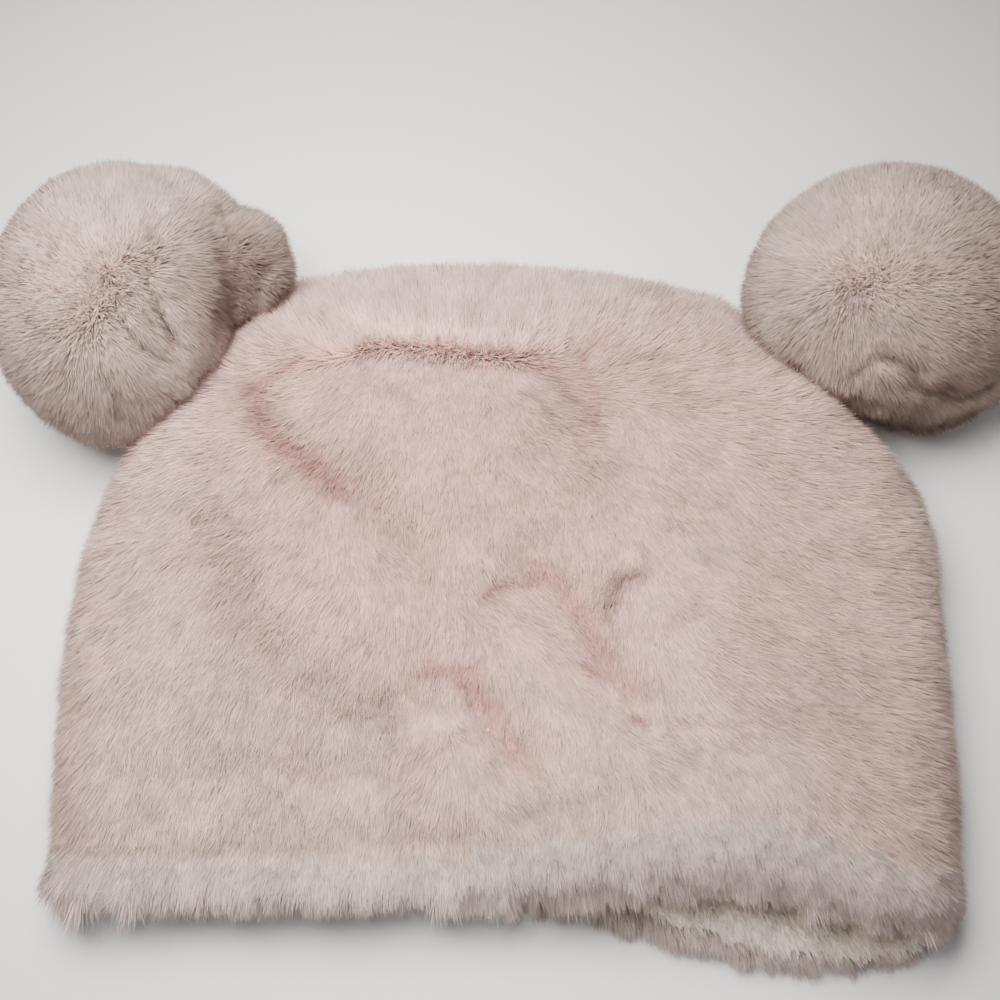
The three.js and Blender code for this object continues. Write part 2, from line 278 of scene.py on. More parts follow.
def pile(name, roots, normals, comb, sizes, colours, parted, seed):
    """A joined mesh of slim tapering tufts of fibres, each of two points at its root and one at its tip.

    comb is the way each tuft leans, in the frame, and where it is short the pile stands up, in wide tufts that
    point every way and cover the cloth, and their roots are painted light there against the shade between them;
    sizes holds length, width, lean, lock and pull, lengths in metres and lean in radians; colours are the root, the
    tip and the tint of a parting, the pink of its roots with painted shade; parted has two columns, how far that
    tint shows, from 0 to 1, and how far the pile is ruffled and painted darker, from -1 where it is sleek and
    painted lighter.
    """
    count = len(roots)
    rng = np.random.default_rng(seed)
    pink_and_painted_shade, ruffled = parted[:, :1], parted[:, 1:]
    rough = np.maximum(ruffled, 0)
    strength = np.minimum(np.linalg.norm(comb, axis=1, keepdims=True), 1)
    standing = 1 - strength
    pink_and_painted_shade = pink_and_painted_shade * (1 - 0.5 * standing)
    slope = (unit(comb) * normals).sum(axis=1, keepdims=True)
    strength *= np.sqrt(1 - np.clip(slope, 0, 1) ** 2)
    comb = unit(comb - normals * (comb * normals).sum(axis=1, keepdims=True))
    side = unit(np.cross(normals, comb))
    fray = rng.normal(0, 1, (count, 1)) * (FRAY + FRAY * rough + 0.9 * standing ** 2)
    heading = unit(comb + side * (fray + (SWAY + 0.3 * rough) * noise(roots, SWAY_SIZE, seed)[:, None]))
    length = 1 + 0.1 * rng.normal(size=count) + 0.1 * noise(roots, LENGTH_SIZE, seed + 5)
    length = sizes["length"] * np.clip(length, 0.5, 1.3)[:, None] * (1 - 0.25 * pink_and_painted_shade)
    lean = sizes["lean"] * strength * (1 + 0.15 * noise(roots, LEAN_SIZE, seed + 9)[:, None]) * (1 - 0.2 * rough)
    lean = lean + rng.normal(0, 1, (count, 1)) * (0.1 + 0.35 * standing ** 2)
    lean = lean + 0.9 * np.arcsin(np.clip(-slope, 0, 1)) * strength  # flatter where it is combed into a slope
    lean = np.minimum(lean, FLATTEST)

    def step(angle):
        return normals * np.cos(angle) + heading * np.sin(angle)

    tip = roots + (step(lean * 0.7) + step(lean * 1.3)) * length / 2
    shade = 1 + 0.12 * rng.normal(size=(count, 1)) + 0.05 * noise(roots, SHADE_SIZE, seed + 31)[:, None]
    for share, pull, contrast, ruffling in GATHERS:
        size, pull = sizes["lock"] * share, sizes["pull"] * pull
        way, number = nearest_lock(roots, size, seed + 20)
        shade += contrast * (1 + ruffling * rough) * (number[:, None] - 0.5)
        way -= normals * (way * normals).sum(axis=1, keepdims=True)
        way *= np.minimum(1, size / np.maximum(np.linalg.norm(way, axis=1, keepdims=True), 1e-9))
        tip += way * pull * (1 + 1.4 * rough) * (1 - 0.7 * standing)
    tip[:, 2] = np.maximum(tip[:, 2], LOWEST_TIP)
    along = unit(tip - roots)
    facing = unit(normals - along * (normals * along).sum(axis=1, keepdims=True))
    across = unit(np.cross(along, facing) + facing * rng.normal(0, 0.3, (count, 1)))
    width = sizes["width"] * (0.8 + 0.4 * rng.random((count, 1))) * (1 + 1.5 * standing)
    corners = np.stack([roots - across * width / 2, roots + across * width / 2, tip], axis=1)
    mesh = bpy.data.meshes.new(name)
    mesh.vertices.add(count * 3)
    mesh.vertices.foreach_set("co", corners.astype(np.float32).ravel())
    mesh.loops.add(count * 3)
    mesh.loops.foreach_set("vertex_index", np.arange(count * 3, dtype=np.int32))
    mesh.polygons.add(count)
    mesh.polygons.foreach_set("loop_start", np.arange(count, dtype=np.int32) * 3)
    mesh.polygons.foreach_set("use_smooth", np.ones(count, dtype=bool))
    mesh.update(calc_edges=True)
    # The third colour is a parting's tint: pink roots with painted shade on the fur, painted shade alone on the
    # pompoms.
    root, end, pink = (np.array(linear(c)) for c in colours)
    # Painted shade and highlight: ruffled pile is painted darker, its roots darker still, and sleek pile lighter.
    shade = np.clip(shade * (1 - 0.2 * ruffled), 0.5, 1.4)
    # Painted light: where the pile stands up, its roots take a tenth more than the tips' colour, against the shade
    # between the tufts.
    root = root * (1 - standing) + end * standing * 1.1
    root_colour = (root * (1 - pink_and_painted_shade) + pink * pink_and_painted_shade) * shade * (1 - 0.1 * rough)
    tip_colour = (end * (1 - TIP_BLUSH * pink_and_painted_shade) + pink * TIP_BLUSH * pink_and_painted_shade) * shade
    rows = np.stack([root_colour, root_colour, tip_colour], axis=1)
    rgba = np.concatenate([rows, np.ones((count, 3, 1))], axis=2).astype(np.float32)
    mesh.color_attributes.new("pile", "FLOAT_COLOR", "POINT").data.foreach_set("color", rgba.ravel())
    outward = unit(facing * 0.4 + normals * 0.6)
    mesh.normals_split_custom_set_from_vertices(np.repeat(outward, 3, axis=0).astype(np.float32))
    piece = bpy.data.objects.new(name, mesh)
    bpy.context.scene.collection.objects.link(piece)
    return piece


def fibre_material(name, roughness, glow):
    """Acrylic pile: soft, slightly glossy fibres, coloured from root to tip; glow is the light let through."""
    material, tree = new_material(name)
    colour = add_node(tree, "ShaderNodeVertexColor", {"layer_name": "pile"})
    gloss = add_node(tree, "ShaderNodeBsdfPrincipled", {"Roughness": roughness, "Specular IOR Level": 0.25},
                     {"Base Color": colour.outputs["Color"]})
    through = add_node(tree, "ShaderNodeBsdfTranslucent", links={"Color": colour.outputs["Color"]})
    both = add_node(tree, "ShaderNodeMixShader", {0: glow}, {1: gloss.outputs[0], 2: through.outputs[0]})
    add_node(tree, "ShaderNodeOutputMaterial", links={"Surface": both.outputs[0]})
    return material


def cloth_material(name, hex_dark, hex_light):
    """The knitted backing with its dense underfur: matt, and mottled where the short fibres tuft together."""
    material, tree = new_material(name)
    where = add_node(tree, "ShaderNodeTexCoord")
    tufts = add_node(tree, "ShaderNodeTexNoise", {"Scale": 1 / UNDERFUR_TUFT, "Detail": 3},
                     {"Vector": where.outputs["Object"]})
    mottle = add_node(tree, "ShaderNodeMix", {"data_type": "RGBA"}, {0: tufts.outputs["Fac"]})
    mottle.inputs[6].default_value = (*linear(hex_dark), 1)
    mottle.inputs[7].default_value = (*linear(hex_light), 1)
    nap = add_node(tree, "ShaderNodeBump", {"Strength": 0.6, "Distance": 0.0006}, {"Height": tufts.outputs["Fac"]})
    cloth = add_node(tree, "ShaderNodeBsdfPrincipled", {"Roughness": 0.95, "Specular IOR Level": 0.1},
                     {"Base Color": mottle.outputs[2], "Normal": nap.outputs[0]})
    add_node(tree, "ShaderNodeOutputMaterial", links={"Surface": cloth.outputs[0]})
    return material


UNDERFUR_TUFT = 0.0012  # the size of the mottling, in metres
# Root, tip and a parting's pink. The roots are darker than the cloth they grow from: painted shade deep in the pile.
FUR_COLOURS = ("#b59c92", "#f2dad0", "#cf9a8d")
acrylic_pile = fibre_material("acrylic_plush_pile", 0.6, 0.5)
pink_backing = cloth_material("knitted_pink_backing", "#d6bdb2", "#f4e2d9")

# Partings, folds and tints of the front panel: path across and along, width and depth in millimetres, how far the
# tint shows, the pink of the roots with painted shade along the folds, from 0 to 1, and how far the pile is
# ruffled and painted darker, from 0 to 1.5.
PARTINGS = [
    ("left corner line", [(-82, 164), (-76, 170), (-71, 175), (-64, 181)], 2.4, 1.5, 0.6, 0.3),
    ("left corner valley", [(-84, 163), (-81, 152), (-73, 143), (-61, 136), (-54, 130)], 6, 1.8, 0.75, 1.3),
    ("left slope", [(-54, 130), (-41, 120), (-29, 106), (-25, 98)], 6, 1, 0.1, 0.6),
    ("crown crease", [(-49, 180), (-42, 187), (-35, 185), (-29, 183)], 2.6, 1.1, 0.25, 0.8),
    ("lower crown row", [(-31, 187), (-15, 184), (10, 179)], 2, 0, 0.05, 0.6),
    ("upper crown row", [(-29, 190), (-14, 188), (0, 186), (10, 184)], 1.6, 0, 0.05, 0.6),
    ("crown tint", [(-20, 181), (-5, 180), (11, 177)], 6, 0, 0.2, 0.3),
    ("crown seam", [(17, 209), (17, 193), (17, 184), (18, 173)], 1.3, 1.4, 0.4, 0.4),
    ("upper feather", [(8, 164), (14, 160), (19, 152)], 1.5, 1, 0.1, 0.9),
    ("lower feather", [(20, 172), (25, 161), (31, 158)], 1.5, 1, 0.1, 0.8),
    ("crown pinch", [(26, 188), (30, 180), (33, 167), (34, 154), (32, 150)], 1.8, 1.4, 0.5, 0.5),
    ("right marks", [(24, 187), (32, 189), (38, 185)], 2, 0.8, 0.7, 0.3),
    ("right crown valley", [(38, 185), (50, 181), (61, 177)], 1.6, 1, 0.25, 0.5),
    ("top of the slanting fold", [(-4, 92), (0, 95), (6, 96), (12, 97)], 2, 1.2, 0.4, 1.4),
    ("slanting tint", [(12, 99), (20, 96), (26, 86), (31, 76), (36, 68), (42, 60)], 4.5, 0, 0.6, 0.3),
    ("slanting fold", [(20, 94), (25, 86), (29, 76), (31, 68), (38, 60)], 1.8, 1.4, 0.6, 0.6),
    ("slanting dot", [(26, 68), (29, 65)], 1.7, 1.3, 1, 1.2),
    ("lower dot", [(40, 50), (46, 48)], 1.7, 1.3, 1, 1.2),
    ("arch", [(-31, 62), (-27, 65), (-19, 67), (-12, 63), (-8, 56), (-2, 46)], 1.8, 2, 0.6, 0.7),
    ("arch tint", [(-21, 69), (-10, 66), (-4, 57), (1, 48), (5, 41), (10, 36)], 4.5, 0, 0.65, 0.2),
    ("arch spot", [(2, 42), (6, 38)], 4, 0.8, 0.6, 0),
    ("arch tick", [(-10, 69), (-5, 69)], 1.4, 0.8, 0.2, 0.7),
    ("foot of the arch", [(-34, 60), (-37, 55), (-34, 46)], 5, 0.6, 0, 0.9),
    ("inside the arch", [(-29, 53), (-23, 57), (-18, 62)], 3.5, 0.3, 0, 0.5),
    ("lower crease", [(9, 22), (15, 26), (27, 27), (36, 29)], 1.3, 1, 0.1, 0.7),
    ("dimple", [(35, 84), (36, 92), (40, 98), (46, 97)], 2.8, 1.2, 0.3, 1.5),
    ("crescent", [(84, 67), (88, 60)], 2.5, 0.8, 0, 0.7),
    ("lower right line", [(44, 50), (57, 49), (68, 48), (81, 51)], 1.5, 0.8, 0.1, 0.6),
    # The two left bands paint the shade of the hollows at the left: ruffled pile, painted darker.
    ("left band", [(-95, 118), (-89, 103), (-82, 86), (-71, 72), (-57, 62), (-41, 56)], 10, 0, 0, 0.9),
    ("left low band", [(-89, 39), (-73, 41), (-58, 38), (-39, 39)], 4.5, 0.5, 0.05, 0.8),
    ("left tick", [(-40, 98), (-32, 98)], 1.5, 0.8, 0, 0.8),
    ("stitch line", [(-130, 13), (-93, 12), (-50, 15), (-10, 17)], 2.2, 1.8, 0.12, 0.7),
]

# How the front panel's pile is combed: places across and along in millimetres, headings in degrees, and how
# ruffled it is, from -1, sleek and painted lighter as a highlight, to 1, ruffled and painted darker as the shade in
# its depth.
COMBING = [
    (-125, 132, -150, 0.1), (-134, 90, -125, 0), (-132, 42, -105, 0.1), (-131, 9, -100, 0),
    (-111, 154, -160, 0), (-98, 118, -130, 0.2), (-101, 77, -115, 0.2), (-103, 33, -100, 0.1),
    (-68, 104, -115, 0.1), (-65, 58, -105, 0.4), (-60, 27, -95, 0.3), (-25, 77, -90, 0.1),
    (-24, 33, -95, 0.4), (-7, 154, -88, 0.1), (0, 118, -90, 0.3), (19, 64, -65, 0.2),
    (47, 150, -70, 0.1), (74, 161, -25, 0), (72, 118, -65, 0.15), (69, 74, -48, 0.2),
    (100, 146, -20, 0.1), (97, 104, -45, 0.3), (93, 58, -45, 0.4), (124, 118, -15, 0.1),
    (126, 77, -20, 0.1), (124, 33, -35, 0.2), (119, 7, -60, 0), (78, 21, -70, 0.2),
    (36, 27, -85, 0.2), (-71, 201, 120, 0), (-35, 205, 100, 0), (0, 209, 90, 0),
    (35, 205, 80, 0), (71, 197, 50, 0), (-89, 176, 160, 0), (98, 165, 10, 0),
    (-88, 95, -110, 0.4), (-78, 75, -105, 0.6), (-46, 54, -95, 0.4), (-80, 34, -100, 0.4),
    (-55, 88, -110, 0), (-47, 72, -105, 0), (-28, 56, -60, -1), (-18, 55, -75, -1),
    (-9, 49, -60, -0.8), (-6, 41, -65, -0.8), (-18, 41, -95, -0.8), (-28, 45, -110, -0.4),
    (2, 91, -35, -1), (12, 87, -40, -1), (19, 80, -55, -0.8), (21, 71, -70, 0.1),
    (0, 84, -70, -0.3), (-14, 79, -95, 0), (-24, 74, -95, 0), (10, 59, -80, 0.1),
    (19, 55, -75, 0.1), (28, 45, -85, 0.1), (34, 55, -60, 0.2), (9, 30, -50, 0.3),
    (23, 21, -80, 0.2), (47, 76, -72, -0.8), (43, 86, -80, -0.8), (36, 96, -115, 0.3),
    (60, 93, -55, 0.1), (80, 88, -50, 0.1), (47, 96, -62, 0.1), (46, 41, -30, 0.2),
    (37, 36, -60, 0.2), (-71, 166, -150, 0),
    (-64, 160, -130, 0), (-55, 152, -120, 0.1), (-44, 177, -100, 0), (-40, 157, -95, 0),
    (-85, 154, -170, 0.1), (-84, 141, -150, 0.2), (-74, 133, -120, 0.2), (-60, 144, -110, 0.3),
    (-47, 129, -80, 0.3), (-37, 108, -60, 0.5), (-20, 146, -92, 0.1), (-5, 157, -90, 0.1),
    (-19, 114, -92, 0), (8, 159, -45, 0.5), (16, 155, -35, 0.4), (25, 167, -50, 0.3),
    (28, 153, -30, 0.5), (24, 143, -60, 0.5), (5, 170, -60, 0.2), (23, 175, -40, 0.2),
    (31, 178, 30, 0.1), (41, 181, 20, 0.1), (52, 175, -10, 0), (41, 167, -30, 0),
    (41, 152, -80, 0.1), (0, 155, -90, 0.1), (25, 128, -88, 0.2), (-40, 178, -98, 0),
    (-30, 178, -95, 0), (-20, 177, -92, 0), (-10, 175, -90, 0), (0, 173, -90, 0),
    (-52, 172, -110, 0), (-40, 194, 100, 0), (-25, 195, 95, 0), (-10, 193, 90, 0),
    (3, 191, 88, 0), (-56, 188, 125, 0), (24, 193, 80, 0), (45, 191, 60, 0),
]


BALL_MIDDLE = 38.5  # the height of the pompoms' middles, in millimetres


def flat_place(points, slant=0):
    """Places across and along in millimetres; slant adds a share of the height, to tell a steep side's places."""
    flat = points[:, :2] * 1000 + ORIGIN
    flat[:, 1] += slant * (points[:, 2] * 1000 - BALL_MIDDLE)
    return flat


OVERHANG = 5  # how far in millimetres the pile reaches over the cloth beyond its roots
TINT = 0.85  # how strong a parting's full tint is
OVER_LINING = 0.0025  # the least height of the pressed cloth over the lining beneath it, in metres
UP_IN_VIEW = np.array((0, math.sin(ELEVATION), math.cos(ELEVATION)))


def laid(points, table_rows, slant, blend=6):
    """How the pile lies: where its tips reach, its heading, how far the rows agree, and how ruffled it is.

    blend is how softly, in millimetres, one row's heading passes into the next.
    """
    flat = flat_place(points, slant)
    rows = np.array(table_rows, dtype=float)
    gap = np.linalg.norm(flat[:, None] - rows[None, :, :2], axis=2)
    weight = 1 / (gap + blend) ** 3.5
    weight /= weight.sum(axis=1, keepdims=True)
    angle = np.radians(rows[:, 2])
    heading = np.stack([weight @ np.cos(angle), weight @ np.sin(angle)], axis=1)
    agreed = np.clip(np.linalg.norm(heading, axis=1) * 1.5 - 0.1, 0.1, 1)[:, None]
    heading = unit(heading)
    return flat + heading * agreed * OVERHANG, heading, agreed, weight @ rows[:, 3]


def combed(points, table_rows, partings, slant=0, blend=6):
    """The way the pile leans, how far the pink of its roots and the painted shade of its partings show, and how
    ruffled it is, at each point.

    Where the rows round a point disagree, the pile stands up, so that it covers the parting.
    """
    tips, heading, agreed, ruffled = laid(points, table_rows, slant, blend)
    pink_and_painted_shade = np.zeros(len(points))
    for _, path, width, depth, tint, ruffle in partings:
        away_mm, direction = path_distance(tips, path)
        near = np.exp(-(away_mm / (1.3 * width)) ** 2)
        heading = heading + direction * (near * 0.05 * depth)[:, None]
        pink_and_painted_shade = np.maximum(pink_and_painted_shade, TINT * tint * np.exp(-(away_mm / width) ** 2))
        ruffled = np.maximum(ruffled, ruffle * np.exp(-(away_mm / width) ** 2))
    heading = unit(heading) * agreed
    comb = heading[:, :1] * np.array((1, 0, 0)) + heading[:, 1:] * UP_IN_VIEW
    return comb, np.stack([pink_and_painted_shade, ruffled], axis=1)


def creased(points, normals, free, table_rows, partings, slant=0):
    """Points of a cloth pressed in beneath the partings of its pile, on the side that is seen."""
    upper = np.clip((normals @ np.array(away) - 0.1) / 0.4, 0, 1) * free
    tips = laid(points, table_rows, slant)[0]
    moved = points.copy()
    for _, path, width, depth, _, _ in partings:
        away_mm, _ = path_distance(tips, path)
        moved -= normals * (upper * depth / 1000 * np.exp(-(away_mm / width) ** 2))[:, None]
    lowest = np.array([(lining_tree.ray_cast(Vector(p), (0, 0, -1))[0] or Vector((0, 0, -1))).z for p in points])
    moved[:, 2] = np.maximum(moved[:, 2], np.minimum(lowest + OVER_LINING, points[:, 2]))
    return moved


def faces_out(points, normals):
    """1 where a surface faces away from the lining, 0 where it faces it."""
    nearest = np.array([tuple(lining_tree.find_nearest(Vector(p))[0]) for p in points])
    return (((points - nearest) * normals).sum(axis=1) > 0).astype(float)


lining_tree = solid_tree("fleece_lining")
hem_tree = solid_tree("hem_roll")
body_tree = solid_tree("fur_shell")
fur_cloth = soft_copy(("fur_shell", "hem_roll"), "fur_body_cloth", 0.004, 14)
PILE_DEPTH = 0.0034  # how far the cloth lies under the face of its pile, in metres
LINING_GAP = 0.0022  # and how far it keeps from the lining
EDGE_DRAWN_IN = 0.0026  # the brim's edge is drawn in by this, and its fringe hangs over it
LIP_DRAWN_IN = 0.0045  # and the lower lip by so much more at the left, where the front lies over it
TABLE_GAP = 0.0006  # the least height of the cloth over the table
points, normals, _ = surface_of(fur_cloth)
outer = faces_out(points, normals)
set_back = np.clip(distance_to(lining_tree, points) - LINING_GAP, 0, PILE_DEPTH)
points -= normals * (set_back * outer)[:, None]
# From 0 to 1: how far a point is beyond the stitch line, and how far it is in the left half of the lower lip.
free_edge = np.clip((distance_to(body_tree, points) - 0.006) / 0.006, 0, 1)
under_left = np.clip((0.018 - points[:, 2]) / 0.006, 0, 1) * np.clip((10 - flat_place(points)[:, 0]) / 12, 0, 1)
points[:, 1] += (EDGE_DRAWN_IN + LIP_DRAWN_IN * under_left) * free_edge * np.clip(-normals[:, 1], 0, 1)
points[:, 2] = np.maximum(points[:, 2], TABLE_GAP)
move_points(fur_cloth, points)
points, normals, _ = surface_of(fur_cloth)
move_points(fur_cloth, creased(points, normals, outer, COMBING, PARTINGS))

# The bag is cut along its stitch line into the body and the turned-in hem.
middles = np.array([tuple(face.center) for face in fur_cloth.data.polygons])
of_hem = distance_to(hem_tree, middles) < distance_to(body_tree, middles)
bpy.ops.object.mode_set(mode="EDIT")
bpy.ops.mesh.select_mode(type="FACE")
bpy.ops.mesh.select_all(action="DESELECT")
bpy.ops.object.mode_set(mode="OBJECT")
fur_cloth.data.polygons.foreach_set("select", of_hem)
bpy.ops.object.mode_set(mode="EDIT")
bpy.ops.mesh.separate(type="SELECTED")
bpy.ops.object.mode_set(mode="OBJECT")
hem_cloth = next(o for o in bpy.context.selected_objects if o != fur_cloth)
hem_cloth.name = "hem_cloth"
fur_cloth.data.materials.append(pink_backing)
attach(fur_cloth, "root")
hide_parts("fur_shell")

ROSY_MIDDLE, ROSY_REACH = (-12, 122), (105, 85)  # the rosier middle, in millimetres across and along
ROSY_BLUSH = 0.4
UNDERSIDE = -0.4  # cloth whose normal points further down than this is the pressed back panel
BODY_PILE = {"length": 0.0079, "width": 0.00046, "lean": math.radians(57), "lock": 0.0025, "pull": 0.2}


def rosy(points):
    """How far the fur's middle is pinker than its greyer edges."""
    return ROSY_BLUSH * np.exp(-(((flat_place(points) - ROSY_MIDDLE) / ROSY_REACH) ** 2).sum(axis=1))


def body_share(points, normals):
    """Most of the pile is on the front panel and the sides; the pressed back panel needs less."""
    return faces_out(points, normals) * np.where(normals[:, 2] > UNDERSIDE, 1.0, 0.12)


BODY_TUFTS = 410000
roots, root_normals = scatter(fur_cloth, BODY_TUFTS, body_share, 11)
comb, parted = combed(roots, COMBING, PARTINGS)
parted[:, 0] += rosy(roots)
under = root_normals[:, 2] < UNDERSIDE
comb[under] = (0, -1, 0)
parted[under] = 0
flat = flat_place(roots)
for name, low, high, seed in (("left", -math.inf, -76, 1), ("middle_left", -76, 0, 2), ("middle_right", 0, 76, 3),
                              ("right", 76, math.inf, 4)):
    part = (flat[:, 0] >= low) & (flat[:, 0] < high)
    fur = pile(f"fur_body_pile_{name}", roots[part], root_normals[part], comb[part], BODY_PILE, FUR_COLOURS,
               parted[part], seed)
    fur.data.materials.append(acrylic_pile)
    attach(fur, "root")


# The lining: thin cream fleece with a very short pile, slip-stitched inside the hem. It shows where the brim
# gapes at the right.
LIP_TURNED = (0, -0.0065, -0.0045)  # how far the lower lip's edge is turned out over the hem, in metres
LOWER_LIP = 0.02  # what lies lower than this, in metres, belongs to the lower lip
GAPE = 10  # the brim gapes to the right of this, in millimetres across
lining = soft_copy(("fleece_lining",), "lining_cloth", 0.0022, 3)
points, _, _ = surface_of(lining)
flat = flat_place(points)
gaping_lip = (points[:, 2] < LOWER_LIP) & (flat[:, 0] > GAPE)
turned = np.clip((6 - flat[:, 1]) / 12, 0, 1) ** 2 * gaping_lip
points += turned[:, None] * np.array(LIP_TURNED)
move_points(lining, points)
lining_faces = [tuple(face.vertices) for face in lining.data.polygons]
lining_over = BVHTree.FromPolygons([tuple(p) for p in points], lining_faces)
cream_backing = cloth_material("knitted_cream_fleece", "#dccfc3", "#f2e8de")
lining.data.materials.append(cream_backing)
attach(lining, "root")
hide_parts("fleece_lining")

FLEECE_COLOURS = ("#ece0d5", "#fcf3ea", "#ece0d5")
FLEECE_PILE = {"length": 0.0034, "width": 0.0006, "lean": math.radians(45), "lock": 0.0026, "pull": 0.4}
BRIM_SHOWS = 40  # how far in from the edge the open brim shows the fleece, in millimetres
FUR_NEAR = 0.006  # where the fur cloth is this near in front of it, the fleece's surface is the hidden one, in metres


def inner_side(points, normals):
    """Fleece pile is on the inside of the bag alone, dense where the open brim shows it."""
    shares = np.where(flat_place(points)[:, 1] < BRIM_SHOWS, 1.0, 0.03)
    for row, (point, normal) in enumerate(zip(points, normals)):
        if any(tree.ray_cast(Vector(point), Vector(normal), FUR_NEAR)[0] for tree in (body_tree, hem_tree)):
            shares[row] = 0
    return shares


LINING_TUFTS = 40000
roots, root_normals = scatter(lining, LINING_TUFTS, inner_side, 31)
comb = np.tile((0.5, -1, 0), (len(roots), 1))
fleece = pile("lining_pile", roots, root_normals, comb, FLEECE_PILE, FLEECE_COLOURS, np.zeros((len(roots), 2)), 32)
fleece.data.materials.append(acrylic_pile)
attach(fleece, "root")


# The hem: the fur cloth turned in round the brim and stitched down, whose pile hangs over the edge as a fringe
# of soft pointed locks. It has no pile where it lies against the fleece.
hem_cloth.data.materials.clear()
hem_cloth.data.materials.append(pink_backing)
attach(hem_cloth, "root")
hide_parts("hem_roll")

EDGE_OUT = Vector((0, -0.0045, 0))  # the hem keeps its pile this near the edge of the fleece, in metres
FLEECE_OVER = 0.012  # and loses it where the fleece is no higher over it than this


def beyond_lining(points, normals):
    """1 where the hem is free, 0 where it faces the lining or lies under it."""
    hits = [lining_over.ray_cast(Vector(p) + EDGE_OUT, (0, 0, 1), FLEECE_OVER)[0] for p in points]
    covered = np.array([hit is not None for hit in hits]) & (normals[:, 1] > -0.5)
    return np.maximum(faces_out(points, normals), points[:, 2] < LOWER_LIP) * ~covered


HEM_TUFTS = 100000
roots, root_normals = scatter(hem_cloth, HEM_TUFTS, beyond_lining, 21)
# Root, tip and a parting's pink; the roots are darker than the cloth, as painted shade deep in the pile.
HEM_COLOURS = ("#b8a69e", "#ecdad3", "#cf9a8d")
across = flat_place(roots)[:, :1]
# From 0 to 1: how far a root is from the stitch line towards the edge, how far it is along the longer fringe of the
# left half, and how far it lies under the front's fringe, where the pile is crushed short.
free_edge = np.clip((distance_to(body_tree, roots)[:, None] - 0.004) / 0.01, 0, 1)
long_fringe = np.clip((-20 - across) / 30, 0, 1)
tucked = np.maximum(roots[:, 2:] < 0.016, 1 - np.clip(root_normals[:, 2:] / 0.5, 0, 1)) * (across < 8)
HEM_PILE = {
    "length": (0.0072 + (0.0055 + 0.003 * long_fringe) * free_edge) * (1 - 0.55 * tucked),
    "width": 0.0005,
    "lean": np.radians(52 + 12 * free_edge),
    "lock": 0.0036,
    "pull": 0.18 + 0.32 * free_edge,
}
comb, parted = combed(roots, COMBING, PARTINGS)
comb[:, 1:] -= free_edge * (0.5, 0.1)
hem_fur = pile("hem_pile", roots, root_normals, comb, HEM_PILE, HEM_COLOURS, parted, 22)
hem_fur.data.materials.append(acrylic_pile)
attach(hem_fur, "root")


# The pompoms: strips of the same fur gathered on a thread into balls, each with smaller lobes where the gather
# parts, sewn to the corners of the crown. Their pile fans out from whorls and parts along the gathers.
POMPOM_PILE = {"length": 0.0072, "width": 0.0005, "lean": math.radians(58), "lock": 0.0026, "pull": 0.12}
# Root, tip, and a dark brown for the partings: painted shade in the gathers, the seams and the back lobes.
POMPOM_COLOURS = ("#d0bcb2", "#d0bbb1", "#8c7066")
POMPOM_TUFTS = 125000
CORE_INSET = 0.0057  # how far the cloth lies under the face of the pile, in metres
PRESSED_REACH, PRESSED_DEPTH = 0.006, 0.003  # where and how far a ball gives way against the hat, in metres
BARE_REACH = 0.0045  # a ball has no pile this near the hat, in metres
SMOOTH_REACH = 34  # the radius of a ball's smooth velvety side, in millimetres
BALL_BLEND = 11  # millimetres over which one heading passes into the next
BALL_SLANT = 0.4
BUMP_HEIGHT, BUMP_SIZE = 0.0012, 0.022  # the unevenness of a ball's filling, in metres
